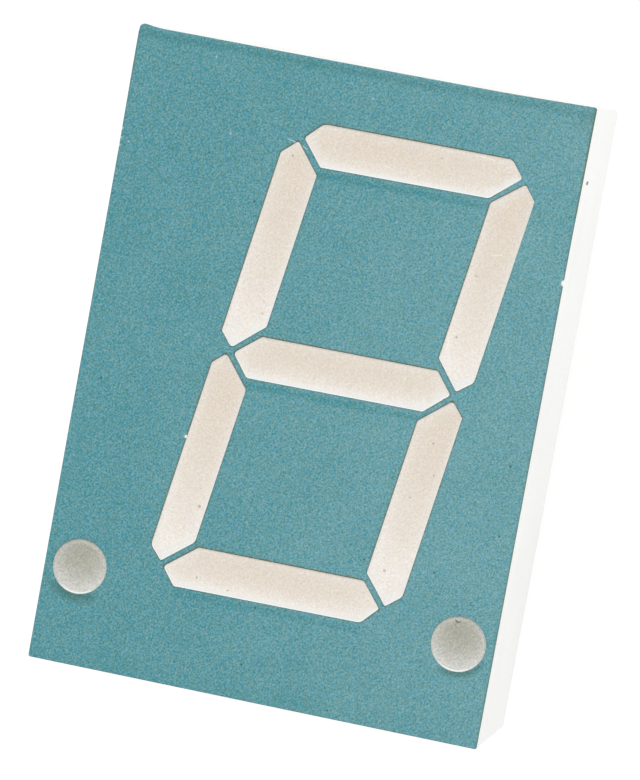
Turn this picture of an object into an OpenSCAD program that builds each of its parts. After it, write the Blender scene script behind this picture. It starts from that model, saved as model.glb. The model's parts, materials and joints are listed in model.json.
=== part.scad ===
// Single-digit seven segment LED display of the 0.8 inch class, with a point at each lower corner.
// It lies face up: +X to the digit's right, +Y to its top, +Z out of the face.
// The origin is the middle of the seating plane, which is the housing's rear rim.

/* [Housing] */
// Width of the housing across the digit
body_w = 20; // [19:0.1:24]
// Height of the housing along the digit
body_h = 27.7; // [26:0.1:34]
// Depth from the seating plane to the front of the face
body_d = 8.1; // [7:0.1:12]
// Radius of the housing's long corners
corner_r = 0.1; // [0.05:0.05:0.4]
// Radius of the long corner beside pin 1
key_corner_r = 0.3; // [0.1:0.05:0.6]
// Thickness of the rim round the circuit board
rim_t = 0.95; // [0.6:0.05:1.1]
// Depth of the recess behind the light wells
recess_d = 2.6; // [2.3:0.1:3.5]
// Thickness of the ink on the face
ink_t = 0.06; // [0.04:0.01:0.2]

/* [Digit] */
// Height of the digit from the foot of segment D to the top of segment A
digit_h = 20.7; // [18:0.1:21.5]
// Width of the upright digit across its outer edges
digit_w = 11.15; // [9.5:0.05:12]
// Height of the digit's middle above the middle of the face
digit_lift = 0.78; // [0:0.02:1.5]
// Lean of the digit in degrees
slant = 8; // [0:0.5:10]
// Width of the level segments A, G and D
bar_w = 1.84; // [1.6:0.02:2.2]
// Width of the leaning segments, taken along the face's width
post_w = 1.8; // [1.6:0.02:2.2]
// Gap between the ends of neighbouring segments
seg_gap = 0.22; // [0.18:0.01:0.4]
// Corner cut of the digit along its width
cut_w = 1.38; // [0.8:0.02:1.6]
// Corner cut of the digit along its height
cut_h = 1.58; // [0.8:0.02:1.8]
// Distance of the corner mitres from the inner corners, towards the digit's middle
mitre_shift = 0.1; // [0:0.01:0.3]
// Distance of the gaps' crossing at the waist from the digit's outer edge
waist_in = 0.585; // [0.4:0.01:0.8]
// Radius of the segments' corners
seg_r = 0.08; // [0.04:0.01:0.16]
// Diameter of the two points
point_d = 2.4; // [1.8:0.05:2.8]
// Distance of a point's middle from the housing's side
point_in = 1.59; // [1.55:0.01:1.9]
// Distance of the points' middles below the foot of the digit
point_drop = 0.03; // [0:0.01:0.4]

/* [Light wells] */
// Length of a segment's well where it meets the circuit board
throat_l = 3.2; // [2.4:0.1:4]
// Width of a segment's well where it meets the circuit board
throat_w = 1.4; // [1.1:0.05:1.5]
// Diameter of a point's well where it meets the circuit board
point_throat_d = 1.24; // [1.2:0.01:1.26]
// Depth of the diffusers' fronts below the face
fill_dip = 0.06; // [0.02:0.01:0.3]
// Depth of the hollow in each point's front
dish_d = 0.15; // [0.05:0.01:0.3]
// Width of the flat rim round that hollow
dish_rim = 0.08; // [0.03:0.01:0.3]
// Gap between a cast diffuser or the potting and the walls round it
cast_gap = 0.01; // [0.005:0.005:0.02]

/* [Circuit board] */
// Thickness of the circuit board
board_t = 1; // [0.8:0.1:1.2]
// Gap between the board's edge and the housing's rim
board_gap = 0.1; // [0.05:0.05:0.2]
// Thickness of the copper on each side
copper_t = 0.05; // [0.035:0.005:0.1]
// Distance of the common copper from the board's edge
copper_in = 0.3; // [0.25:0.05:0.6]
// Distance kept between copper of different nets
copper_gap = 0.15; // [0.1:0.01:0.2]
// Diameter of the copper ring round a pin
pad_d = 1.3; // [1.2:0.05:1.5]
// Diameter of a bond pad and of the land under a via
bond_pad_d = 0.5; // [0.4:0.05:0.6]
// Diameter of a via's barrel
via_d = 0.3; // [0.2:0.05:0.35]
// Width of the tracks on the rear side
track_w = 0.3; // [0.2:0.05:0.4]
// Thickness of the potting over the back of the board
potting_t = 0.5; // [0.3:0.05:0.7]
// Height of a solder joint above its pad
solder_h = 0.8; // [0.6:0.05:1]

/* [Pins] */
// Distance between neighbouring pin positions
pitch = 2.54; // [2.3:0.01:2.6]
// Distance of each row of pins from the housing's side, which puts the rows 15.24 apart
row_in = 2.38; // [2.2:0.01:2.6]
// Diameter of a pin
pin_d = 0.5; // [0.4:0.05:0.6]
// Length of a pin below the seating plane
pin_l = 4; // [2.5:0.1:6]
// Length of the taper at a pin's tip
pin_tip_l = 0.2; // [0.1:0.05:0.4]
// Width of the square shank that is pressed through the board
shank_w = 0.6; // [0.5:0.05:0.65]
// Gap between a shank and the hole or solder round it
shank_gap = 0.01; // [0.005:0.005:0.03]

/* [Chips] */
// Width of an LED chip
chip_w = 0.3; // [0.2:0.01:0.34]
// Height of an LED chip
chip_h = 0.25; // [0.15:0.01:0.3]
// Distance from a segment's chip to its bond pad
bond_span = 0.8; // [0.7:0.05:1]
// Distance from a point's chip to its bond pad
point_bond_span = 0.55; // [0.5:0.01:0.58]
// Diameter of a bond wire
bond_wire_d = 0.04; // [0.02:0.01:0.05]
// Gap between chip or wire and the diffuser cast over them
chip_gap = 0.09; // [0.05:0.01:0.1]

/* [Hidden] */
$fn = 48;
ARC_STEPS = 4;      // straight steps in each rounded corner of a segment
SOLDER_STEPS = 5;   // straight steps in the hollow side of a solder joint
OVERCUT = 0.1;      // how far a cut runs past the face that it opens
ROW_PINS = 9;       // pin positions in each row
COMMON_PINS = [4, 6, 12, 17];

skin_z = body_d - ink_t;
board_front = recess_d - copper_t;
board_rear = board_front - board_t;
pad_rear = board_rear - copper_t;
solder_tip = pad_rear - solder_h;
recess_w = body_w - 2 * rim_t;
recess_h = body_h - 2 * rim_t;
board_w = recess_w - 2 * board_gap;
board_h = recess_h - 2 * board_gap;
shank_hole_d = shank_w * sqrt(2) + 2 * shank_gap;
row_x = body_w / 2 - row_in;

// ---- The upright digit: points run anticlockwise round each segment, from the digit's middle ----

half_w = digit_w / 2;
half_h = digit_h / 2;
inner_w = half_w - post_w;
inner_h = half_h - bar_w;
half_bar = bar_w / 2;
gap_step = seg_gap / sqrt(2);      // half a gap, measured along either axis across a 45 degree mitre
cut_slope = cut_h / cut_w;
mitre = inner_h - inner_w - mitre_shift;
waist = half_w - waist_in;

// Where the line y - x = c meets the corner cut.
function cut_point(c) =
    let (x = (half_h - c + (half_w - cut_w) * cut_slope) / (1 + cut_slope)) [x, x + c];

function mirrored_x(points) = [for (i = [len(points) - 1 : -1 : 0]) [-points[i].x, points[i].y]];
function mirrored_y(points) = [for (i = [len(points) - 1 : -1 : 0]) [points[i].x, -points[i].y]];

top_end = [
    [inner_h - mitre - gap_step, inner_h],
    cut_point(mitre + gap_step),
    [half_w - cut_w, half_h]
];
top_bar = concat(top_end, mirrored_x(top_end));

middle_end = [
    [waist - gap_step - half_bar, -half_bar],
    [waist - gap_step, 0],
    [waist - gap_step - half_bar, half_bar]
];
middle_bar = concat(middle_end, mirrored_x(middle_end));

right_post = [
    [inner_w, waist + gap_step - inner_w],
    [waist, gap_step],
    [half_w, half_w - waist + gap_step],
    [half_w, half_h - cut_h],
    cut_point(mitre - gap_step),
    [inner_w, inner_w + mitre - gap_step]
];
left_post = mirrored_x(right_post);

bar_size = [2 * cut_point(mitre + gap_step).x, bar_w];
middle_size = [2 * (waist - gap_step), bar_w];
post_size = [post_w, cut_point(mitre - gap_step).y - gap_step];
post_x = half_w - post_w / 2;
post_y = gap_step + post_size.y / 2;
bar_throat = [throat_l, throat_w];
post_throat = [throat_w, throat_l];
post_turn = 90 - slant;

// Each segment: node letter, outline, middle, size at the face, size at the board, chip's turn, pin.
SEGMENTS = [
    ["a", top_bar, [0, half_h - half_bar], bar_size, bar_throat, 0, 2],
    ["b", right_post, [post_x, post_y], post_size, post_throat, post_turn, 15],
    ["c", mirrored_y(right_post), [post_x, -post_y], post_size, post_throat, post_turn, 13],
    ["d", mirrored_y(top_bar), [0, half_bar - half_h], bar_size, bar_throat, 0, 11],
    ["e", mirrored_y(left_post), [-post_x, -post_y], post_size, post_throat, post_turn, 5],
    ["f", left_post, [-post_x, post_y], post_size, post_throat, post_turn, 3],
    ["g", middle_bar, [0, 0], middle_size, bar_throat, 0, 14]
];

// The points sit just below the digit's foot: node word, side, pin.
POINTS = [["left", -1, 7], ["right", 1, 10]];

// ---- From the upright digit to the face ----

// The digit leans about the middle line of segment D.
function lean(p) = [p.x + tan(slant) * (p.y + half_h - half_bar), p.y + digit_lift];

function unit(v) = v / norm(v);

// The points of the arc that rounds the corner b between a and c.
function corner_arc(a, b, c, r) =
    let (
        u = unit(a - b),
        v = unit(c - b),
        half = acos(u * v) / 2,
        start = b + u * r / tan(half),
        middle = b + unit(u + v) * r / sin(half),
        arm = start - middle,
        way = cross(b - a, c - b) > 0 ? 1 : -1,
        sweep = way * (180 - 2 * half)
    )
    [for (i = [0 : ARC_STEPS])
        let (w = sweep * i / ARC_STEPS)
        middle + [arm.x * cos(w) - arm.y * sin(w), arm.x * sin(w) + arm.y * cos(w)]];

function rounded(points, r) =
    let (n = len(points))
    [for (i = [0 : n - 1]) each corner_arc(points[(i + n - 1) % n], points[i], points[(i + 1) % n], r)];

// How far a well has opened at height z, from 0 at the board to 1 at the face.
function opened(z) = (z - recess_d) / (body_d - recess_d);

// A segment's outline at height z, drawn in by gap on each side.
function well_outline(seg, z, gap = 0) =
    let (
        face = seg[3],
        throat = seg[4],
        sx = (throat.x + (face.x - throat.x) * opened(z) - 2 * gap) / face.x,
        sy = (throat.y + (face.y - throat.y) * opened(z) - 2 * gap) / face.y
    )
    rounded([for (p = seg[1])
        lean(seg[2] + [(p.x - seg[2].x) * sx, (p.y - seg[2].y) * sy])], seg_r);

function point_r(z) = (point_throat_d + (point_d - point_throat_d) * opened(z)) / 2;
function point_at(pt) = [pt[1] * (body_w / 2 - point_in), digit_lift - half_h - point_drop];

// Each light: node word, place of its middle, turn of its chip, distance to its bond pad, pin.
LIGHTS = concat(
    [for (s = SEGMENTS) [s[0], lean(s[2]), s[5], bond_span, s[6]]],
    [for (p = POINTS) [p[0], point_at(p), 90, point_bond_span, p[2]]]
);

function along(light, distance) = light[1] + distance * [cos(light[2]), sin(light[2])];
function chip_at(light) = along(light, light[3] / 2);
function bond_at(light) = along(light, -light[3] / 2);
function wire_r(light) = norm([light[3], chip_h]) / 2;
function arch_h(light) = chip_h / 2 + wire_r(light) + bond_wire_d / 2;

// Pins are numbered down the left row and up the right one.
PINS = concat([for (light = LIGHTS) light[4]], COMMON_PINS);
function pin_at(n) =
    n <= ROW_PINS
    ? [-row_x, pitch * ((ROW_PINS + 1) / 2 - n)]
    : [row_x, pitch * (n - ROW_PINS - (ROW_PINS + 1) / 2)];
function pin_node(n) = str("pin_", n < 10 ? "0" : "", n);

// ---- Shared shapes ----

// A closed solid between two outlines with the same number of points.
module loft(low, low_z, high, high_z) {
    n = len(low);
    polyhedron(
        points = concat([for (p = low) [p.x, p.y, low_z]], [for (p = high) [p.x, p.y, high_z]]),
        faces = concat(
            [[for (i = [0 : n - 1]) i]],
            [[for (i = [n - 1 : -1 : 0]) n + i]],
            [for (i = [0 : n - 1]) [i, n + i, n + (i + 1) % n]],
            [for (i = [0 : n - 1]) [i, n + (i + 1) % n, (i + 1) % n]]
        )
    );
}

module segment_form(seg, from_z, to_z, gap = 0)
    loft(well_outline(seg, from_z, gap), from_z, well_outline(seg, to_z, gap), to_z);

module point_form(pt, from_z, to_z, gap = 0)
    translate([point_at(pt).x, point_at(pt).y, from_z])
        cylinder(h = to_z - from_z, r1 = point_r(from_z) - gap, r2 = point_r(to_z) - gap);

// All nine light wells, from behind the recess's floor to in front of the face.
module wells() {
    for (seg = SEGMENTS) segment_form(seg, recess_d - OVERCUT, body_d + OVERCUT);
    for (pt = POINTS) point_form(pt, recess_d - OVERCUT, body_d + OVERCUT);
}

module slab(w, h, low_z, high_z)
    translate([-w / 2, -h / 2, low_z]) cube([w, h, high_z - low_z]);

// What a corner of radius r loses, for the corner that points to side x, y.
module corner_waste(x, y, r)
    translate([x * (body_w / 2 - r), y * (body_h / 2 - r)]) difference() {
        translate([x > 0 ? 0 : -r - OVERCUT, y > 0 ? 0 : -r - OVERCUT]) square(r + OVERCUT);
        circle(r);
    }

// The housing's outline with its rounded corners.
module body_slab(low_z, high_z)
    translate([0, 0, low_z]) linear_extrude(high_z - low_z) difference() {
        square([body_w, body_h], center = true);
        for (x = [-1, 1], y = [-1, 1])
            corner_waste(x, y, x < 0 && y > 0 ? key_corner_r : corner_r);
    }

module at_pin(n, z) translate([pin_at(n).x, pin_at(n).y, z]) children();
module at_light(p, z) translate([p.x, p.y, z]) children();

// A track with round ends between two places on the rear side.
module track(from, to) {
    run = to - from;
    translate([from.x, from.y, 0]) rotate(atan2(run.y, run.x))
        translate([0, -track_w / 2]) square([norm(run), track_w]);
    for (p = [from, to]) translate([p.x, p.y]) circle(d = track_w);
}

// The bend of a track that ends in a 45 degree run.
function bend(from, to) =
    let (run = to - from, side = min(abs(run.x), abs(run.y)))
    to - [sign(run.x) * side, sign(run.y) * side];

// ---- The pieces ----

module reflector_housing() color("white")
    difference() {
        body_slab(0, skin_z);
        slab(recess_w, recess_h, -OVERCUT, recess_d);
        wells();
    }

module face_ink() color([0.41, 0.62, 0.64])
    difference() {
        body_slab(skin_z, body_d);
        wells();
    }

// The space left in a diffuser for its chip and bond wire.
module chip_space(light)
    at_light(light[1], recess_d - OVERCUT) rotate(light[2])
        translate([-light[3] / 2 - chip_w / 2 - chip_gap, -chip_w / 2 - chip_gap, 0])
            cube([
                light[3] + chip_w + 2 * chip_gap,
                chip_w + 2 * chip_gap,
                OVERCUT + arch_h(light) + chip_gap
            ]);

module segment(i) color([0.92, 0.88, 0.82])
    difference() {
        segment_form(SEGMENTS[i], recess_d + cast_gap, body_d - fill_dip, cast_gap);
        chip_space(LIGHTS[i]);
    }

// The point's front is hollowed by a shallow spherical dish.
module point(i) color([0.72, 0.72, 0.68]) {
    front = body_d - fill_dip;
    mouth_r = point_r(front) - cast_gap - dish_rim;
    dish_r = (pow(mouth_r, 2) + pow(dish_d, 2)) / (2 * dish_d);
    difference() {
        point_form(POINTS[i], recess_d + cast_gap, front, cast_gap);
        chip_space(LIGHTS[len(SEGMENTS) + i]);
        at_light(point_at(POINTS[i]), front - dish_d + dish_r)
            sphere(dish_r, $fn = 4 * $fn);
    }
}

module circuit_board() color([0.16, 0.36, 0.22])
    difference() {
        slab(board_w, board_h, board_rear, board_front);
        for (n = PINS) at_pin(n, board_rear - OVERCUT)
            cylinder(h = board_t + 2 * OVERCUT, d = shank_hole_d);
        for (light = LIGHTS) at_light(bond_at(light), board_rear - OVERCUT)
            cylinder(h = board_t + 2 * OVERCUT, d = via_d);
    }

// The common net fills the chip side; the signal pins' rings and the bond pads are islands in it.
module front_copper() color([0.80, 0.55, 0.30])
    translate([0, 0, board_front]) linear_extrude(copper_t) difference() {
        union() {
            difference() {
                square([board_w - 2 * copper_in, board_h - 2 * copper_in], center = true);
                for (light = LIGHTS) {
                    translate(pin_at(light[4])) circle(d = pad_d + 2 * copper_gap);
                    translate(bond_at(light)) circle(d = bond_pad_d + 2 * copper_gap);
                }
            }
            for (light = LIGHTS) {
                translate(pin_at(light[4])) circle(d = pad_d);
                translate(bond_at(light)) circle(d = bond_pad_d);
            }
        }
        for (n = PINS) translate(pin_at(n)) circle(d = shank_hole_d);
    }

// Pin rings, and from each via a track that ends in a 45 degree run to its pin.
module rear_copper() color([0.80, 0.55, 0.30]) {
    translate([0, 0, pad_rear]) linear_extrude(copper_t) difference() {
        union() {
            for (n = PINS) translate(pin_at(n)) circle(d = pad_d);
            for (light = LIGHTS) {
                turn_at = bend(bond_at(light), pin_at(light[4]));
                translate(bond_at(light)) circle(d = bond_pad_d);
                track(bond_at(light), turn_at);
                track(turn_at, pin_at(light[4]));
            }
        }
        for (n = PINS) translate(pin_at(n)) circle(d = shank_hole_d);
    }
    for (light = LIGHTS) at_light(bond_at(light), pad_rear)
        cylinder(h = copper_t + board_t, d = via_d);
}

module chip(light) color([0.75, 0.30, 0.22])
    at_light(chip_at(light), recess_d) rotate(light[2])
        translate([-chip_w / 2, -chip_w / 2, 0]) cube([chip_w, chip_w, chip_h]);

// One half circle, leaning up from the bond pad to the chip's top.
module bond_wire(light) color([0.90, 0.72, 0.30])
    at_light(light[1], recess_d + chip_h / 2) rotate([90, -atan(chip_h / light[3]), light[2]])
        rotate_extrude(angle = 180) translate([wire_r(light), 0]) circle(d = bond_wire_d);

module pin(n) color([0.78, 0.78, 0.76]) {
    at_pin(n, solder_tip) translate([-shank_w / 2, -shank_w / 2, 0])
        cube([shank_w, shank_w, board_front - solder_tip]);
    at_pin(n, pin_tip_l - pin_l) cylinder(h = solder_tip + pin_l - pin_tip_l, d = pin_d);
    at_pin(n, -pin_l) cylinder(h = pin_tip_l, d1 = pin_d / 2, d2 = pin_d);
}

module solder_joints() color([0.70, 0.71, 0.72]) {
    foot_r = pad_d / 2;
    crest_r = shank_hole_d / 2 + 2 * shank_gap;
    for (n = PINS) at_pin(n, pad_rear) difference() {
        rotate_extrude() polygon(concat(
            [[0, -solder_h], [0, 0]],
            [for (i = [0 : SOLDER_STEPS])
                let (t = i / SOLDER_STEPS)
                [crest_r + (foot_r - crest_r) * pow(1 - t, 2), -solder_h * t]]
        ));
        translate([-shank_w / 2 - shank_gap, -shank_w / 2 - shank_gap, -solder_h - OVERCUT])
            cube([shank_w + 2 * shank_gap, shank_w + 2 * shank_gap, solder_h + 2 * OVERCUT]);
    }
}

module rear_potting() color([0.86, 0.80, 0.58])
    difference() {
        slab(recess_w - 2 * cast_gap, recess_h - 2 * cast_gap, pad_rear - potting_t, pad_rear);
        for (n = PINS) at_pin(n, pad_rear - potting_t - OVERCUT)
            cylinder(h = potting_t + 2 * OVERCUT, d = pad_d + 2 * cast_gap);
    }

reflector_housing();
face_ink();
for (i = [0 : len(SEGMENTS) - 1])
    segment(i);
for (i = [0 : len(POINTS) - 1])
    point(i);
circuit_board();
front_copper();
rear_copper();
for (light = LIGHTS) {
    chip(light);
    bond_wire(light);
}
for (n = PINS)
    pin(n);
solder_joints();
rear_potting();
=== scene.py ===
import json
import math

import bmesh
import bpy
from mathutils import Euler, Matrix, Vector, geometry


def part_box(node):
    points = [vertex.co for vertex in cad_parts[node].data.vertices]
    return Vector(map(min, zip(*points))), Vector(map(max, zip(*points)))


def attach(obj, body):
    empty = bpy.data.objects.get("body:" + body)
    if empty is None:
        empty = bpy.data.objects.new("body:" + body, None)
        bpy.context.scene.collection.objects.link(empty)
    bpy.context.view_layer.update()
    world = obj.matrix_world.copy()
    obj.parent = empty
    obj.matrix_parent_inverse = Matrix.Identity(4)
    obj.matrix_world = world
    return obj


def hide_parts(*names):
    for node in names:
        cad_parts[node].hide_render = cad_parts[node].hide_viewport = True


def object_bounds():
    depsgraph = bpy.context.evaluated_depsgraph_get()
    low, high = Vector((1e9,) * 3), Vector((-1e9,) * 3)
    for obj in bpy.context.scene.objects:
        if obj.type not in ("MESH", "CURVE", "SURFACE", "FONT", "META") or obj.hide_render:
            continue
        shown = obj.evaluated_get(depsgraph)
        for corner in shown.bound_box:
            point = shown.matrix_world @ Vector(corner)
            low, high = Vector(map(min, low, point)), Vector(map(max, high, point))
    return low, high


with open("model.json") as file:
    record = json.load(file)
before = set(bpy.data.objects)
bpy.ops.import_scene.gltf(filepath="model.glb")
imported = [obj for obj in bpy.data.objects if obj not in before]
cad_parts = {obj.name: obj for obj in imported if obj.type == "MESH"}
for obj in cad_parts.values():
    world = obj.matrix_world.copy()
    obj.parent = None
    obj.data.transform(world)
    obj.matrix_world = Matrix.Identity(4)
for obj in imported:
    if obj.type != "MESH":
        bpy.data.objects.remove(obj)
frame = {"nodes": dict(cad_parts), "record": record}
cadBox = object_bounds()
nodes = frame["nodes"]
mm = 0.001
print("frame loaded:", len(nodes), "solids")


view = {
    "lens": 231.28,                        # in mm, on a 36 mm sensor
    "place": (35.854, 17.318, 218.616),    # in mm
    "turn": (-2.8492, 10.2031, 10.5332),   # in degrees
}
light = {
    "sky": 0.80,                           # level of the sky round the display
    "key": {"from": (-380, 860, 760), "size": 440, "level": 7.6},
    "side": {"from": (260, -20, 6), "size": 70, "level": 13.0},
}
floor = {
    "reach": 3.0,                          # half the floor's side, in metres
    "white": (0.92, 0.92, 0.92),
    "glow": 1.08,
    "shown": 0.86,                         # share of plain glow that the camera sees instead of the lit floor
}


def makeCamera():
    camera = bpy.data.objects.new("camera", bpy.data.cameras.new("camera"))
    bpy.context.scene.collection.objects.link(camera)
    camera.data.lens = view["lens"]
    camera.data.sensor_width = 36
    camera.data.clip_start = 0.01
    camera.location = Vector(view["place"]) * mm
    camera.rotation_euler = Euler([math.radians(a) for a in view["turn"]])
    bpy.context.scene.camera = camera
    bpy.context.scene.view_settings.view_transform = "Standard"


def makeLamp(name, lamp):
    data = bpy.data.lights.new(name, "AREA")
    data.size = lamp["size"] * mm
    data.energy = lamp["level"] * data.size ** 2 * math.pi  # an area lamp's glow is power / (pi * area)
    made = bpy.data.objects.new(name, data)
    made.location = Vector(lamp["from"]) * mm
    made.rotation_euler = (-made.location).to_track_quat("-Z", "Y").to_euler()
    made.visible_camera = False
    bpy.context.scene.collection.objects.link(made)


class Wire:  # one output of a node; sums on it add Math nodes
    def __init__(self, tree, socket):
        self.tree, self.socket = tree, socket

    def maths(self, operation, *terms):
        return self.tree.node("Math", {"operation": operation}, dict(enumerate(terms)))

    def __add__(self, other):
        return self.maths("ADD", self, other)

    def __radd__(self, other):
        return self.maths("ADD", other, self)

    def __sub__(self, other):
        return self.maths("SUBTRACT", self, other)

    def __rsub__(self, other):
        return self.maths("SUBTRACT", other, self)

    def __mul__(self, other):
        return self.maths("MULTIPLY", self, other)

    def __rmul__(self, other):
        return self.maths("MULTIPLY", other, self)

    def __lt__(self, other):
        return self.maths("LESS_THAN", self, other)

    def __gt__(self, other):
        return self.maths("GREATER_THAN", self, other)

    def __or__(self, other):
        return self.maths("MAXIMUM", self, other)

    def __ror__(self, other):
        return self.maths("MAXIMUM", other, self)

    def __abs__(self):
        return self.maths("ABSOLUTE", self)


class Tree:  # a node tree, and the nodes that most finishes share
    def __init__(self, tree):
        self.tree = tree

    def node(self, kind, settings={}, inputs={}, output=0):
        made = self.tree.nodes.new("ShaderNode" + kind)
        for setting, value in settings.items():
            if setting == "stops":
                ramp = made.color_ramp.elements
                while len(ramp) < len(value):
                    ramp.new(1)
                for stop, (place, colour) in zip(ramp, value):
                    stop.position, stop.color = place, (*colour, 1)
            else:
                setattr(made, setting, value)
        for socket, value in inputs.items():
            if isinstance(value, Wire):
                self.tree.links.new(value.socket, made.inputs[socket])
            else:
                made.inputs[socket].default_value = value
        return Wire(self, made.outputs[output])

    def shownRays(self):  # rays that see the plain white background
        camera, glossy, through = (self.node("LightPath", output=f"Is {ray} Ray")
                                   for ray in ("Camera", "Glossy", "Transmission"))
        return camera | glossy | through

    def place(self, shift=(0, 0, 0), turn=(0, 0, 0)):  # where a point is on the piece, in mm
        point = self.node("TexCoord", output="Object")
        near = self.node("Mapping", {"vector_type": "POINT"}, {"Vector": point, "Scale": (1000, 1000, 1000)})
        return self.node("Mapping", {"vector_type": "TEXTURE"},
                         {"Vector": near, "Location": shift, "Rotation": [math.radians(a) for a in turn]})

    def askew(self, shift=(0, 0, 0)):  # the same, at a slant to the piece, so that grain shows no grid
        return self.place(shift, (37, 24, 51))

    def along(self, vector, axis):
        return self.node("SeparateXYZ", {}, {0: vector}, axis)

    def away(self, place, point):
        return self.node("VectorMath", {"operation": "DISTANCE"}, {0: place, 1: point}, "Value")

    def attribute(self, name):
        return self.node("Attribute", {"attribute_name": name}, output="Fac")

    def grain(self, place, size, detail=1.0):
        return self.node("TexNoise", {}, {"Vector": place, "Scale": 1 / size, "Detail": detail})

    def ease(self, wire, low, high, start=0.0, end=1.0):
        return self.node("MapRange", {"interpolation_type": "SMOOTHSTEP"},
                         {"Value": wire, "From Min": low, "From Max": high, "To Min": start, "To Max": end})

    def band(self, wire, near, peak, far):
        return self.ease(wire, near, peak) * self.ease(wire, far, peak)

    def specks(self, place, spacing, size, share, flat=True):  # dots in some of the cells, size across
        settings = {"voronoi_dimensions": "2D" if flat else "3D"}
        cell = self.node("TexVoronoi", settings, {"Vector": place, "Scale": 1 / spacing}, "Color")
        gap = self.node("TexVoronoi", settings, {"Vector": place, "Scale": 1 / spacing}, "Distance")
        chosen = self.along(cell, "X") < share
        return chosen * self.ease(gap, size / spacing * 0.6, size / spacing * 0.3)

    def flat(self, place):  # the same place, seen straight on to the face
        return self.times(place, (1, 1, 0))

    def chips(self, place, spots):  # small marks at chosen places
        marks = [self.ease(self.away(place, spot[:3]), spot[3] * 0.7, spot[3] * 0.35) for spot in spots]
        total = marks[0]
        for mark in marks[1:]:
            total = total | mark
        return total

    def scratch(self, middle, turn, half, width, bend):  # a fine line, bent by a parabola
        place = self.place((*middle, 0), (0, 0, turn))
        u, w = self.along(place, "X"), self.along(place, "Y")
        off = abs(w - u * u * bend)
        return self.ease(off, width, width * 0.3) * self.ease(abs(u), half, half * 0.6)

    def mix(self, share, first, second):
        def colour(value):
            return value if isinstance(value, Wire) else (*value, 1)
        return self.node("Mix", {"data_type": "RGBA"}, {0: share, 6: colour(first), 7: colour(second)}, 2)

    def times(self, first, second):
        return self.node("VectorMath", {"operation": "MULTIPLY"}, {0: first, 1: second})

    def grit(self, colour, size, depths, cast):  # fine light and dark grains, by colour
        dark, pale = (tuple(1 + side * depth for depth in depths) for side in (-1, 1))
        tone = self.mix(self.grain(self.askew(), size), dark, pale)
        blue = self.grain(self.askew((5, 9, 2)), size * 1.2, 0.0)
        tint = self.mix(blue, (1, 1, 1 - cast), (1, 1, 1 + cast))
        return self.times(self.times(colour, tone), tint)

    def bump(self, height, depth, strength=1.0):
        return self.node("Bump", {}, {"Height": height, "Distance": depth * mm, "Strength": strength})


class Look(Tree):  # a material
    def __init__(self, name, **fixed):
        self.material = bpy.data.materials.new(name)
        self.material.use_nodes = True
        super().__init__(self.material.node_tree)
        self.shader = self.tree.nodes["Principled BSDF"]
        for socket, value in fixed.items():
            self.shader.inputs[socket.replace("_", " ")].default_value = value

    def paint(self, socket, wire):
        self.tree.links.new(wire.socket, self.shader.inputs[socket])


def linear(*levels):  # from screen levels of 0 to 255
    return tuple(c / 255 / 12.92 if c <= 10.3 else ((c / 255 + 0.055) / 1.055) ** 2.4 for c in levels)


def makeStage():
    world = bpy.data.worlds.new("sky")
    bpy.context.scene.world = world
    world.use_nodes = True
    sky = Tree(world.node_tree)
    level = sky.node("MapRange", {}, {"Value": sky.shownRays(), "To Min": light["sky"], "To Max": 1.0})
    background = world.node_tree.nodes["Background"]
    background.inputs["Color"].default_value = (1, 1, 1, 1)
    sky.tree.links.new(level.socket, background.inputs["Strength"])

    look = Look("floorWhite", Base_Color=(*floor["white"], 1), Roughness=0.9, Specular_IOR_Level=0.0)
    glow = look.node("Emission", {}, {"Color": (1, 1, 1, 1), "Strength": floor["glow"]})
    lit = Wire(look, look.shader.outputs[0])
    both = look.node("MixShader", {}, {0: look.shownRays() * floor["shown"], 1: lit, 2: glow})
    behind = look.node("NewGeometry", output="Backfacing")
    top = look.node("MixShader", {}, {0: behind, 1: both, 2: look.node("BsdfTransparent")})
    look.tree.links.new(top.socket, look.tree.nodes["Material Output"].inputs["Surface"])

    shape = bmesh.new()
    bmesh.ops.create_grid(shape, x_segments=1, y_segments=1, size=floor["reach"])
    bmesh.ops.translate(shape, verts=shape.verts, vec=(0, 0, cadBox[0].z))
    mesh = bpy.data.meshes.new("floor")
    shape.to_mesh(mesh)
    shape.free()
    mesh.materials.append(look.material)
    made = bpy.data.objects.new("floor", mesh)
    bpy.context.scene.collection.objects.link(made)


makeCamera()
makeLamp("keyLamp", light["key"])
makeLamp("sideLamp", light["side"])
makeStage()
print("camera, lamps and stage set")


def boxOf(node):  # a solid's low and high corners in mm
    return [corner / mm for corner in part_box(node)]


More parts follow.
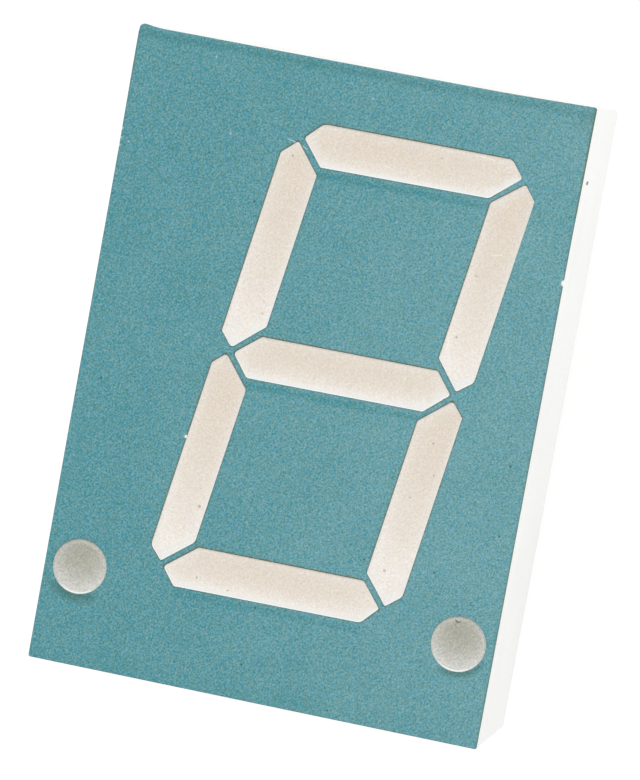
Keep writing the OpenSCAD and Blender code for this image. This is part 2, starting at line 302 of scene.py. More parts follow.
wear = {
    # a mark is x, y, z and size in mm, and its z is 0 where only its place on the front counts
    "chips": [(-6.47, 13.1, 8.1, 0.09), (-5.28, 9.98, 8.1, 0.08), (-9.6, 8.83, 8.1, 0.09),
              (0.55, 12.57, 8.1, 0.08), (-9.09, 9.18, 8.1, 0.07), (-9.97, 9.35, 8.1, 0.12),
              (-9.94, 8.95, 8.1, 0.09), (-9.98, 8.62, 8.1, 0.12)],    # pale, in the ink
    "bare": [(10.03, 6.37, 0, 0.25), (-4.82, -3.16, 0, 0.13)],        # where the white below shows
    "dirt": [(9.21, -1.7, 0, 0.12), (-3.73, 7.31, 0, 0.12), (3.37, -13.54, 0, 0.1),
             (6.83, -6.79, 0, 0.1), (-8.95, -1.38, 0, 0.11), (3.76, -6.84, 0, 0.1),
             (9.29, -4.73, 0, 0.1), (-0.67, -12.35, 0, 0.1), (-6.04, 9.01, 0, 0.09),
             (-0.55, 3.3, 0, 0.09), (-0.51, -9.81, 0, 0.1), (8.25, -8.35, 0, 0.08)],   # on the ink
    "flecks": [(-3.71, -6.02, 0, 0.14), (4.7, -7.14, 0, 0.13), (5.92, 3.25, 0, 0.11),
               (-2.46, 9.55, 0, 0.1), (5.78, -1.38, 0, 0.09), (-3.28, -9.05, 0, 0.09),
               (-1.85, -9.34, 0, 0.085), (5.19, -3.85, 0, 0.08), (-2.52, 2.66, 0, 0.08),
               (6.03, -2.73, 0, 0.08), (6.28, 5.96, 0, 0.08)],        # dark, in the segments
    "nick": [(8.13, -8.64, 0, 0.08), (8.18, -8.68, 0, 0.09), (8.25, -8.68, 0, 0.07),
             (8.3, -8.65, 0, 0.06)],                                  # one dark mark in the right point
    "scratches": [((-2.47, 10.14), -18, 0.42, 0.035, -0.25), ((-1.97, 9.97), -28, 0.15, 0.03, 0.0),
                  ((5.8, 10.99), -5, 0.46, 0.03, -0.15), ((7.02, 7.01), 9, 0.24, 0.03, 0.0),
                  ((1.43, 10.83), 4, 0.22, 0.025, 0.2), ((1.7, 9.82), -8, 0.2, 0.025, -0.3),
                  ((-0.71, 10.12), -57, 0.15, 0.03, 0.0),
                  ((0.34, 10.5), -80, 0.12, 0.025, 0.0)],  # middle, turn, half length, half width, bend
    "onInk": 2,   # how many of the scratches, from the first, run on over the ink
}
inkLook = {
    "deep": (0.0, 0.202, 0.230),
    "pale": (0.385, 0.610, 0.640),
    "level": 0.225,        # share of the pale colour towards the left edge
    "paintedSheen": 0.15,          # painted sheen: how much paler the right edge is
    "grain": 0.074,        # size of the grain in mm
    "contrast": 1.40,
    "cast": 0.28,          # how far single grains turn to blue or brown
    "cloud": 0.16,         # how far its tone wanders over a few mm
    "shadesBelow": {"a": 0.17, "g": 0.17, "d": 0.10},            # painted shade: how much darker it is below a segment
    "shadeBelowSpan": (0.05, 0.36, 0.6),                             # where such a strip begins, is darkest and ends
    "topLine": {"span": (0.05, 0.3, 0.6), "depth": 0.12},  # painted shade: the darker line below the face's top edge
    "footLine": {"span": (1.1, 0.2), "depth": 0.03},       # and the darker line above its foot
    "shades": {"left": (0.58, 0.46, -0.1), "right": (0.38, 0.45, 0.3)},  # of a point: reach, depth, lean
    "shadeFoot": (0.8, 1.25),                              # how far below the point's middle it sets in
    "shadeColour": (0.01, 0.06, 0.015),
    "cool": (0.06, 0.32, 0.50),
    "warm": (0.20, 0.30, 0.21),
    "dirt": linear(30, 78, 78),
    "edgeDark": linear(88, 112, 92),       # at the face's outer edges, and in the painted shade below its top edge
    "seam": linear(92, 88, 44),        # painted shade round the windows
    "scratch": linear(176, 206, 206),
    "chip": linear(162, 196, 198),
    "bare": linear(244, 246, 244),
}


def makeInk():
    look = Look("faceInk", Roughness=0.5, Specular_IOR_Level=0.35)
    place = look.place()
    across, up = look.along(place, "X"), look.along(place, "Y")
    grain = look.grain(look.askew(), inkLook["grain"], 1.0)
    tint = look.grain(look.askew((3, 7, 1)), inkLook["grain"] * 1.15, 0.0)
    cloud = look.grain(look.askew((0, 0, 40)), 2.4, 2.0)
    # painted sheen: the ink turns paler towards the right edge and the middle of its height
    paintedSheen = look.ease(across * 0.8 - abs(up) * 0.25, -9, 8)
    # share of the pale colour: the ink's grain and clouds, with painted sheen and painted shade added below
    paleShare = (grain - 0.5) * inkLook["contrast"] + (cloud - 0.5) * inkLook["cloud"]
    paleShare = paleShare + paintedSheen * inkLook["paintedSheen"] + inkLook["level"]
    # painted shade in the ink below the bars A, G and D
    for bar, depth in inkLook["shadesBelow"].items():
        low, high = boxOf("segment_" + bar)
        middle, half = (low.x + high.x) / 2, (high.x - low.x) / 2
        beside = look.ease(abs(across - middle), half, half - 0.9)
        paleShare = paleShare - look.band(low.y - up, *inkLook["shadeBelowSpan"]) * beside * depth
    low, high = boxOf("face_ink")
    topLine, footLine = inkLook["topLine"], inkLook["footLine"]
    shaded = look.band(high.y - up, *topLine["span"]) * topLine["depth"]
    paleShare = paleShare - shaded - look.ease(up - low.y, *footLine["span"]) * footLine["depth"]
    plain = look.mix(paleShare, inkLook["deep"], inkLook["pale"])
    cool = look.mix(inkLook["cast"], plain, inkLook["cool"])
    warm = look.mix(inkLook["cast"], plain, inkLook["warm"])
    colour = look.mix(look.ease(tint, 0.3, 0.7), warm, cool)
    for side, (reach, depth, lean) in inkLook["shades"].items():
        low, high = boxOf("point_" + side)
        middle = (low + high) / 2
        r = (high.x - low.x) / 2
        away = look.away(place, (middle.x, middle.y, high.z))
        below = middle.y - up + (across - middle.x) * lean
        shade = look.ease(away, r + reach, r + 0.08) * look.ease(below, *inkLook["shadeFoot"])
        colour = look.mix(shade * depth, colour, inkLook["shadeColour"])
    dark = look.specks(place, 0.9, 0.085, 0.025) | look.chips(look.flat(place), wear["dirt"])
    colour = look.mix(dark * 0.7, colour, inkLook["dirt"])
    # the dark colour at the outer edges, and in the painted shade below the top edge
    colour = look.mix(shaded | look.attribute("edge"), colour, inkLook["edgeDark"])
    ragged = look.ease(look.grain(look.askew((8, 3, 5)), 0.11, 1.0), 0.25, 0.65, 0.75, 1.5)
    # painted shade round the windows, made ragged
    colour = look.mix(look.attribute("seam") * ragged, colour, inkLook["seam"])
    for mark in wear["scratches"][:wear["onInk"]]:
        colour = look.mix(look.scratch(*mark) * 0.9, colour, inkLook["scratch"])
    rag = look.grain(place, 0.06, 1.0)
    spots = look.chips(place, wear["chips"]) * look.ease(rag, 0.25, 0.5)
    colour = look.mix(spots, colour, inkLook["chip"])
    colour = look.mix(look.chips(look.flat(place), wear["bare"]), colour, inkLook["bare"])
    look.paint("Base Color", colour)
    look.paint("Roughness", 0.46 + grain * 0.14)
    look.paint("Normal", look.bump(grain, 0.004, 0.5))
    return look.material


housingLook = {
    "white": linear(244, 244, 242),
    "shade": linear(238, 238, 236),
    "footDarker": linear(233, 233, 230),          # darker towards the foot of the digit
    "skin": linear(226, 226, 222),
    "speck": linear(140, 134, 120),
    "scuff": [(10.0, 10.67, 1.63, 0.17)],   # its z counts a quarter, so that the mark stands tall
    "scuffColour": linear(40, 42, 38),
}


def makeHousingWhite():
    look = Look("housingWhite", Roughness=0.42)
    place = look.place()
    cloud = look.grain(look.askew(), 5.0, 3.0)
    skin = look.grain(look.askew(), 0.12, 2.0)
    colour = look.mix(look.ease(cloud, 0.3, 0.8), housingLook["white"], housingLook["shade"])
    colour = look.mix(look.ease(look.along(place, "Y"), 11, -11) * 0.5, colour, housingLook["footDarker"])
    colour = look.mix(look.ease(skin, 0.45, 0.75) * 0.35, colour, housingLook["skin"])
    dust = look.specks(place, 1.1, 0.08, 0.4, flat=False)
    colour = look.mix(dust * 0.4, colour, housingLook["speck"])
    scuff = look.chips(look.times(place, (1, 1, 0.25)), housingLook["scuff"])
    colour = look.mix(scuff, colour, housingLook["scuffColour"])
    look.paint("Base Color", colour)
    look.paint("Roughness", 0.36 + skin * 0.16)
    look.paint("Normal", look.bump(skin, 0.003, 0.5))
    return look.material


creamLook = {
    "steps": [(0.0, linear(224, 211, 194)), (0.35, linear(229, 219, 206)), (1.0, linear(241, 235, 227))],
    "lit": linear(237, 239, 238),
    # painted shade along the segments' upper and left edges
    "seam": linear(70, 84, 66),
    "speck": linear(128, 126, 114),
    "fleck": linear(96, 104, 92),
    "dust": linear(246, 244, 240),
    "scratch": linear(250, 248, 242),
}


def makeCream():
    look = Look("segmentCream", Roughness=0.3)
    place = look.place()
    cloud = look.grain(place, 1.1, 2.0)
    tone = look.attribute("tone") + (cloud - 0.5) * 0.2
    base = look.node("ValToRGB", {"stops": creamLook["steps"]}, {0: tone})
    colour = look.grit(base, 0.084, (0.18, 0.21, 0.27), 0.10)
    colour = look.mix(look.specks(place, 1.3, 0.08, 0.1) * 0.3, colour, creamLook["speck"])
    colour = look.mix(look.chips(look.flat(place), wear["flecks"]) * 0.45, colour, creamLook["fleck"])
    colour = look.mix(look.specks(look.place((4, 2, 0)), 0.7, 0.08, 0.2) * 0.5, colour, creamLook["dust"])
    for mark in wear["scratches"]:
        colour = look.mix(look.scratch(*mark) * 0.6, colour, creamLook["scratch"])
    colour = look.mix(look.attribute("lit") * 0.9, colour, creamLook["lit"])
    # painted shade along the upper and left edges
    colour = look.mix(look.attribute("seam"), colour, creamLook["seam"])
    look.paint("Base Color", colour)
    look.paint("Roughness", 0.26 + cloud * 0.12)
    look.paint("Normal", look.bump(cloud, 0.004, 0.3))
    return look.material


greyLook = {
    "steps": [(0.0, linear(160, 161, 148)), (0.23, linear(177, 177, 164)), (0.4, linear(190, 190, 181)),
              (0.59, linear(204, 204, 198)), (0.79, linear(219, 218, 211)), (1.0, linear(235, 236, 234))],
    "lit": linear(252, 252, 250),
    "pit": linear(110, 126, 118),
    "nick": linear(84, 96, 88),
}


def makePointGrey():
    look = Look("pointGrey", Roughness=0.3)
    place = look.place()
    tone = look.attribute("tone")
    cloud = look.grain(place, 0.5, 2.0)
    base = look.node("ValToRGB", {"stops": greyLook["steps"]}, {0: tone + (cloud - 0.5) * 0.16})
    colour = look.grit(base, 0.08, (0.42, 0.39, 0.42), 0.06)
    pits = look.specks(place, 0.26, 0.06, 0.4) * look.ease(tone, 0.5, 0.2)
    colour = look.mix(pits * 0.45, colour, greyLook["pit"])
    colour = look.mix(look.chips(look.flat(place), wear["nick"]) * 0.8, colour, greyLook["nick"])
    colour = look.mix(look.attribute("lit"), colour, greyLook["lit"])
    look.paint("Base Color", colour)
    look.paint("Roughness", 0.28 + cloud * 0.14)
    look.paint("Normal", look.bump(cloud, 0.01, 0.4))
    return look.material


def clouded(look, how):  # paints two colours that pass into each other in clouds, and gives the clouds
    cloud = look.grain(look.place(), *how["cloud"])
    share = look.ease(cloud, *how["turn"]) if "turn" in how else cloud
    look.paint("Base Color", look.mix(share, *how["colours"]))
    return cloud


# in each finish below: the clouds' size in mm and their detail, where they turn, and the two colours
tinLook = {"cloud": (0.5, 2.0), "turn": (0.4, 0.75),
           "colours": (linear(214, 214, 211), linear(192, 191, 187)),
           "streak": (9, 9, 0.8)}  # how much finer the drawn streaks are across than along


def makeTin():
    look = Look("pinTin", Metallic=1.0, Roughness=0.3)
    clouded(look, tinLook)
    streak = look.node("Mapping", {}, {"Vector": look.place(), "Scale": tinLook["streak"]})
    draw = look.node("TexNoise", {}, {"Vector": streak, "Scale": 1.6, "Detail": 3.0})
    look.paint("Roughness", 0.2 + draw * 0.22)
    look.paint("Normal", look.bump(draw, 0.004, 0.4))
    return look.material


solderLook = {"cloud": (0.25, 3.0), "turn": (0.4, 0.8),
              "colours": (linear(206, 208, 210), linear(150, 150, 148))}


def makeSolder():
    look = Look("solderSilver", Metallic=1.0, Roughness=0.35)
    cloud = clouded(look, solderLook)
    look.paint("Roughness", 0.25 + cloud * 0.3)
    look.paint("Normal", look.bump(cloud, 0.01, 0.5))
    return look.material


resinLook = {"cloud": (2.0, 3.0), "turn": (0.3, 0.8),
             "colours": (linear(234, 223, 188), linear(217, 202, 160)),
             "bubbles": (1.3, 0.22, 0.16)}  # spacing and size in mm, and the share of places that have one


def makePotting():
    look = Look("pottingResin", Roughness=0.2)
    cloud = clouded(look, resinLook)
    bubble = look.specks(look.place(), *resinLook["bubbles"])
    look.paint("Alpha", 0.62 + cloud * 0.2 + bubble * 0.12)
    look.paint("Roughness", 0.12 + cloud * 0.14)
    look.paint("Normal", look.bump(cloud * 0.6 + bubble * 0.3, 0.05, 0.4))
    return look.material


boardLook = {"cloud": (1.5, 3.0), "turn": (0.3, 0.8), "colours": (linear(44, 92, 56), linear(60, 112, 68)),
             "weave": {"Scale": 1.1, "Distortion": 1.5, "Detail": 1.0}, "thread": linear(110, 140, 90)}


def makeBoard():
    look = Look("boardGreen", Roughness=0.4)
    place = look.place()
    weave = look.node("TexWave", {"wave_type": "BANDS", "bands_direction": "X"},
                      {"Vector": place, **boardLook["weave"]})
    cloud = look.grain(place, *boardLook["cloud"])
    colour = look.mix(look.ease(cloud, *boardLook["turn"]), *boardLook["colours"])
    look.paint("Base Color", look.mix(weave * 0.12, colour, boardLook["thread"]))
    look.paint("Roughness", 0.34 + cloud * 0.14)
    look.paint("Normal", look.bump(weave, 0.01, 0.3))
    return look.material


copperLook = {"cloud": (0.8, 3.0), "turn": (0.3, 0.8),
              "colours": (linear(214, 150, 110), linear(176, 112, 80))}


def makeCopper():
    look = Look("trackCopper", Metallic=1.0, Roughness=0.35)
    look.paint("Roughness", 0.25 + clouded(look, copperLook) * 0.25)
    return look.material


chipLook = {"cloud": (0.12, 2.0), "colours": (linear(150, 60, 48), linear(196, 104, 70))}


def makeChip():
    look = Look("chipRed", Roughness=0.25)
    look.paint("Roughness", 0.2 + clouded(look, chipLook) * 0.1)
    return look.material


goldLook = {"cloud": (0.1, 2.0), "colours": (linear(236, 196, 96), linear(212, 170, 80))}


def makeGold():
    look = Look("bondGold", Metallic=1.0, Roughness=0.22)
    look.paint("Roughness", 0.18 + clouded(look, goldLook) * 0.12)
    return look.material


finishes = {
    "housing_white": makeHousingWhite(), "face_teal": makeInk(), "segment_cream": makeCream(),
    "point_grey": makePointGrey(), "board_green": makeBoard(), "copper": makeCopper(), "chip_red": makeChip(),
    "bond_gold": makeGold(), "pin_tin": makeTin(), "solder": makeSolder(), "potting_clear": makePotting(),
}
slotOf = {part["node"]: part["material_slot"] for part in frame["record"]["subparts"]}
for name, solid in nodes.items():
    for spot in solid.material_slots:
        spot.material = finishes[slotOf[name]]
print("finishes made:", len(finishes))


def copyOf(node):  # a CAD solid's mesh, merged and with its flat faces whole
    shape = bmesh.new()
    shape.from_mesh(nodes[node].data)
    bmesh.ops.remove_doubles(shape, verts=shape.verts, dist=1e-7)
    bmesh.ops.dissolve_limit(shape, angle_limit=0.001, verts=shape.verts, edges=shape.edges)
    return shape


def keep(shape, name, *stoodFor, smooth=35):
    mesh = bpy.data.meshes.new(name)
    bmesh.ops.recalc_face_normals(shape, faces=shape.faces)
    for face in shape.faces:
        face.smooth = True
    shape.to_mesh(mesh)
    shape.free()
    mesh.set_sharp_from_angle(angle=math.radians(smooth))
    piece = bpy.data.objects.new(name, mesh)
    bpy.context.scene.collection.objects.link(piece)
    slot = slotOf[stoodFor[0]]
    mesh.materials.append(finishes[slot])
    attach(piece, "root")
    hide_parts(*stoodFor)
    return piece


shell = {"edge": 0.07, "steps": 3, "strayFrom": 7.9}  # rounding of the rim's edges, where it strays, in mm
faceEdge = {
    "near": 0.2,         # what counts as the edge, in mm
    "cuts": {"x": (-9.8, -9.55, -9.35, -9.1, -4, 0, 3, 6, 7, 8, 9), "y": (8.5, 9.5, 11, 12.5)},
    # a bend is how far the edge strays, where that begins, over what length, in mm, and how sharply
    "flick": {"by": 0.10, "from": -9.1, "over": -0.75, "power": 1.3},  # the top edge, up at its left end
    "rise": {"by": 0.07, "from": 6, "over": 4, "power": 1.2},          # and at its right end
    "sag": 0.015,        # how far it lies in, in the middle
    "leftIn": 0.042,     # how far the left edge lies in, below its top
    "leftOut": 0.023,    # how far it lies out at its top
    "leftTurn": {"by": 1, "from": 5, "over": 8, "power": 1},           # the share of the way between them
    "right": {"by": 0.04, "from": 8.5, "over": 5, "power": 0.7},       # the right edge, out at its top
    "footOut": 0.03,
}


def bent(place, bend):
    return bend["by"] * max(0, (place - bend["from"]) / bend["over"]) ** bend["power"]


def stray(shape, level):  # lets the front's outer edges stray from straight, above a height in mm
    low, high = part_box("face_ink")
    near = faceEdge["near"] * mm
    for axis, places in faceEdge["cuts"].items():
        normal = Vector((axis == "x", axis == "y", 0))
        for place in places:
            bmesh.ops.bisect_plane(shape, geom=[*shape.verts, *shape.edges, *shape.faces], dist=1e-6,
                                   plane_co=normal * place * mm, plane_no=normal)
    for v in shape.verts:
        x, y = v.co.x / mm, v.co.y / mm
        if v.co.z < level * mm:
            continue
        if high.y - v.co.y < near:
            sag = faceEdge["sag"] * (1 - (x * mm / high.x) ** 2)
            v.co.y += (bent(x, faceEdge["flick"]) + bent(x, faceEdge["rise"]) - sag) * mm
        if v.co.x - low.x < near:
            turned = min(1, bent(y, faceEdge["leftTurn"]))
            v.co.x += (faceEdge["leftIn"] - (faceEdge["leftIn"] + faceEdge["leftOut"]) * turned) * mm
        if high.x - v.co.x < near:
            v.co.x += bent(y, faceEdge["right"]) * mm
        if v.co.y - low.y < near:
            v.co.y -= faceEdge["footOut"] * mm


bendEdge = 0.2  # the edges in a rounded corner are shorter than this, in mm
cornersOf = {  # of each segment's corners: place on the face, how far it strays there, radius, in mm
    "a": [(6.2, 9.3, -0.03, 0.04, 0.3), (7.5, 10.4, -0.03, 0.0, 0.13), (7.0, 11.1, -0.05, -0.01, 0.3),
          (-1.4, 11.1, 0.04, -0.01, 0.45), (-2.2, 10.4, 0.03, -0.01, 0.13), (-1.2, 9.3, -0.03, -0.01, 0.1)],
    "b": [(5.3, 2.1, 0.03, 0.07, 0.1), (6.3, 0.9, -0.03, 0.02, 0.08), (7.0, 1.5, -0.01, -0.06, 0.35),
          (8.1, 9.5, 0.02, 0.0, 0.2), (7.6, 10.2, 0.02, -0.03, 0.08), (6.3, 9.0, 0.04, 0.14, 0.2)],
    "c": [(3.9, -7.5, 0.01, 0.07, 0.18), (5.0, -8.7, 0.01, 0.02, 0.08), (5.7, -8.0, -0.02, -0.13, 0.4),
          (6.8, 0.0, -0.01, -0.08, 0.1), (6.3, 0.6, -0.01, -0.04, 0.13), (4.9, -0.6, 0.01, 0.05, 0.2)],
    "d": [(-3.6, -7.7, 0.15, -0.02, 0.1), (-4.9, -8.8, 0.02, -0.02, 0.14), (-4.3, -9.6, 0.07, -0.03, 0.1),
          (4.1, -9.6, 0.03, 0.04, 0.4), (4.8, -8.8, -0.02, 0.05, 0.08), (3.9, -7.7, 0.07, 0.0, 0.18)],
    "e": [(-2.6, -0.6, 0.01, -0.06, 0.25), (-3.7, 0.6, -0.05, 0.1, 0.13), (-4.4, 0.0, 0.05, 0.19, 0.1),
          (-5.5, -8.0, -0.03, -0.08, 0.4), (-5.0, -8.7, 0.0, 0.02, 0.08), (-3.6, -7.5, -0.03, -0.11, 0.35)],
    "f": [(-1.3, 9.0, 0.01, -0.09, 0.18), (-2.3, 10.2, 0.01, 0.0, 0.08), (-3.0, 9.6, 0.03, 0.09, 0.25),
          (-4.2, 1.5, 0.01, 0.08, 0.1), (-3.6, 0.9, 0.03, 0.03, 0.15), (-2.3, 2.1, 0.01, -0.03, 0.2)],
    "g": [(5.1, -0.1, -0.02, 0.02, 0.1), (6.2, 0.8, -0.03, 0.01, 0.1), (5.4, 1.7, 0.04, 0.01, 0.1),
          (-2.5, 1.7, 0.1, -0.01, 0.08), (-3.5, 0.8, 0.03, 0.0, 0.16), (-2.7, -0.1, -0.03, -0.03, 0.18)],
}


def loopsOf(edges):  # closed chains of edges, each as its corners in order
    left, loops = dict.fromkeys(edges), []
    while left:
        first = left.popitem()[0]
        chain = list(first.verts)
        while True:
            after = next((e for e in chain[-1].link_edges if e in left), None)
            if after is None:
                break
            del left[after]
            chain.append(after.other_vert(chain[-1]))
        loops.append(chain[:-1])
    return loops


def arc(before, corner, after, r, steps):  # places round a corner, from one side to the other
    u, v = (before - corner).normalized(), (after - corner).normalized()
    half = u.angle(v) / 2
    middle = corner + (u + v).normalized() * r / math.sin(half)
    first, last = (corner + way * r / math.tan(half) - middle for way in (u, v))
    return [middle + first.slerp(last, i / steps) * r for i in range(steps + 1)]


def wander(shape):  # lets the segments' corners near the face stray from their drawn places
    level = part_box("face_ink")[0].z - 0.01 * mm
    rim = [e for e in shape.edges if all(v.co.z > level for v in e.verts)
           and sorted(abs(f.normal.z) > 0.9 for f in e.link_faces) == [False, True]]
    known = [corner for corners in cornersOf.values() for corner in corners]
    for loop in loopsOf(rim):
        count = len(loop)
        sides = [i for i in range(count) if (loop[(i + 1) % count].co - loop[i].co).length > bendEdge * mm]
        if len(sides) != 6:
            continue
        bends, places, radii = [], [], []
        for i, j in zip(sides, sides[1:] + sides[:1]):
            bend = [loop[(i + 1 + k) % count] for k in range((j - i - 1) % count + 1)]
            a, b, c, d = (loop[k % count].co.xy for k in (i, i + 1, j, j + 1))
            place = geometry.intersect_line_line(a.to_3d(), b.to_3d(), c.to_3d(), d.to_3d())[0]
            near = min(known, key=lambda corner: (Vector(corner[:2]) * mm - place.xy).length)
            bends.append(bend)
            places.append(place + Vector((near[2], near[3], 0)) * mm)
            radii.append(near[4] * mm)
        for k, bend in enumerate(bends):
            bow = arc(places[k - 1], places[k], places[(k + 1) % 6], radii[k], len(bend) - 1)
            for v, place in zip(bend, bow):
                v.co.xy = place.xy
    shape.normal_update()


def makeHousing():
    shape = copyOf("reflector_housing")
    wander(shape)
    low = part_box("reflector_housing")[0]
    rim = [e for e in shape.edges
           if all(abs(v.co.z - low.z) < 1e-6 for v in e.verts) and e.calc_face_angle(0) > 0.5]
    bmesh.ops.bevel(shape, geom=rim, offset=shell["edge"] * mm, segments=shell["steps"], profile=0.5,
                    affect="EDGES", material=-1, clamp_overlap=True)
    stray(shape, shell["strayFrom"])
    return keep(shape, "housingShell", "reflector_housing")


diffuser = {
    "spread": 0.01,     # how far the resin fills the gap to its wall, in mm
    "extra": 0.02,      # how much further the right and lower edges of a window lie
    "climb": 0.03,      # how far it climbs the wall
    "rings": [(0.014, 0.010), (0.018, 0.009), (0.022, 0.007), (0.026, 0.004)],  # width, fall of each step
    "halfWidth": 0.92,
    "dish": 0.03,       # how far the middle sinks
    "lengthCuts": 11,
    "widthCuts": 7,
    # in the tone, fall and foot are painted light, paler towards a segment's lower end, and rimShade is
    # painted light on edges facing the upper left
    "tones": {"top": 0.03, "fall": 0.5, "foot": 0.7, "rim": 0.4, "rimShade": 0.5, "end": 0.25},
    "glow": {"a": 0.6, "c": 1.15, "g": 0.8, "d": 0.88},  # how much of the tone's fall a segment has; the fall is painted light, paler towards the lower end
    "rimReach": 0.22,   # how far the whitish rim reaches in
    "seam": {"a": 0.5},    # share of the painted shade along the upper edges that a segment has
    "lit": (0.055, 0.07),  # how far in the bright lower line lies, and its half width
}
slant = math.radians(8)
shadeFrom = Vector((-0.5, 0.87, 0))  # edges that face this way show a painted dark shade line, and in the segments a paler rim
litFrom = Vector((0.2, -0.98, 0))    # and edges that face this way a bright line
wideFrom = Vector((1, -1, 0))        # windows are a little wider this way


def shadeOf(way):  # how dark the painted shade is along an edge, by the way it faces: less at a slant
    return max(0, way.dot(shadeFrom)) * (1 - abs(way.x * way.y))


def outlineOf(faces):  # the edges round some faces, each with the way its wall faces
    outline = []
    for face in faces:
        for e in face.edges:
            walls = [g for g in e.link_faces if g not in faces and g.normal.xy.length > 0.8]
            if walls:
                a, b = (v.co.xy.to_3d() for v in e.verts)
                outline.append((a, b, walls[0].normal.xy.to_3d().normalized()))
    return outline


def waysOut(verts):  # for each corner, the move that takes all the walls there out by one
    ways = {}
    for v in verts:
        found = []
        for g in v.link_faces:
            flat = g.normal.xy.to_3d()
            if flat.length > 0.2 and all((flat.normalized() - other).length > 0.01 for other in found):
                found.append(flat.normalized())
        if found:
            way = sum(found, Vector()) / len(found)
            ways[v] = way / way.length_squared
    return ways


def nearest(point, outline):  # the gap from a point to an outline, and the way the wall there faces
    best = (1.0, Vector())
    for a, b, way in outline:
        foot, share = geometry.intersect_point_line(point, a, b)
        foot = a if share < 0 else b if share > 1 else foot
        gap = (foot - point).length
        if gap < best[0]:
            best = (gap, way)
    return best


def frontOf(shape, top):
    return dict.fromkeys(f for f in shape.faces if f.normal.z > 0.9 and f.calc_center_median().z > top - 1e-5)


def layersOf(shape, *names):
    return [shape.verts.layers.float.new(name) for name in names]


paint = {
    "edge": 0.035, "steps": 3,   # rounding of the ink's outer edge in mm
    "band": 0.35,                # an edge this near to the face's side is an outer one, in mm
    "margin": 0.3,               # no window reaches this near to its top or foot
    "points": 0.05,              # a point's window begins this far before the point
    "rings": (0.03, 0.045),      # widths of the rings round each window
    # how dark the painted shade is along a window's other edges, beside the one to its upper left
    "rightShade": 0.46,
    "lowShade": 0.28,
    "pointShade": {-1: 0.4, 1: 0.2},  # round the left and the right point
    "edgeDark": {"left": 0.6, "right": 0.85, "top": 0.2, "foot": 0.1},  # how far its outer edges turn brown
}


def makeFacePaint():
    shape = copyOf("face_ink")
    wander(shape)
    low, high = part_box("face_ink")
    outer = []
    for e in shape.edges:
        middle = (e.verts[0].co + e.verts[1].co) / 2
        if all(abs(v.co.z - high.z) < 1e-6 for v in e.verts) and e.calc_face_angle(0) > 0.5:
            if min(high.x - abs(middle.x), high.y - abs(middle.y)) < paint["band"] * mm:
                outer.append(e)
    bmesh.ops.bevel(shape, geom=outer, offset=paint["edge"] * mm, segments=paint["steps"], profile=0.5,
                    affect="EDGES", material=-1, clamp_overlap=True)
    face = frontOf(shape, high.z)
    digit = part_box("point_right")[0].x - paint["points"] * mm  # the points' windows lie beyond this
    inside = high.y - paint["margin"] * mm
    spread(shape, [v for v in shape.verts if abs(v.co.x) < digit and abs(v.co.y) < inside], 0, -1)
    outline = outlineOf(face)
    ringed(shape, face, paint["rings"])
    stray(shape, low.z / mm - 1)
    seam, edge = layersOf(shape, "seam", "edge")
    reach = sum(paint["rings"]) * mm
    for v in shape.verts:
        beside = paint["pointShade"][round(math.copysign(1, v.co.x))] if abs(v.co.x) > digit else 1
        gaps = {"left": v.co.x - low.x, "right": high.x - v.co.x,
                "top": high.y - v.co.y, "foot": v.co.y - low.y}
        v[edge] = max(max(0, 1 - gap / reach) * paint["edgeDark"][side] for side, gap in gaps.items())
        gap, way = nearest(v.co.xy.to_3d(), outline)
        v[seam] = max(0, 1 - gap / reach) * beside * max(shadeOf(-way), -way.x * paint["rightShade"],
                                                     way.y * paint["lowShade"])
    return keep(shape, "facePaint", "face_ink")


def spread(shape, verts, width, side=1):  # moves walls out, a little more to the lower right
    shape.normal_update()
    for v, way in waysOut(verts).items():
        wide = min(1, max(0, side * way.dot(wideFrom) / way.length))
        v.co += side * way * (width + diffuser["extra"] * wide) * mm


def ringed(shape, faces, widths):  # narrow rings along a flat front's edges, the rest filled again
    shape.normal_update()
    border = (e for f in faces for e in f.edges if any(g not in faces for g in e.link_faces))
    edges = list(dict.fromkeys(border))
    ways = waysOut(dict.fromkeys(v for e in edges for v in e.verts))
    bmesh.ops.delete(shape, geom=list(faces), context="FACES")
    for width in widths:
        made = bmesh.ops.extrude_edge_only(shape, edges=edges)["geom"]
        fresh = dict.fromkeys(g for g in made if isinstance(g, bmesh.types.BMVert))
        edges = [g for g in made if isinstance(g, bmesh.types.BMEdge) and all(v in fresh for v in g.verts)]
        for v in fresh:
            old = next(e.other_vert(v) for e in v.link_edges if e.other_vert(v) not in fresh)
            ways[v] = ways[old]
            v.co -= ways[v] * width * mm
    bmesh.ops.triangle_fill(shape, use_beauty=True, edges=edges, normal=(0, 0, 1))


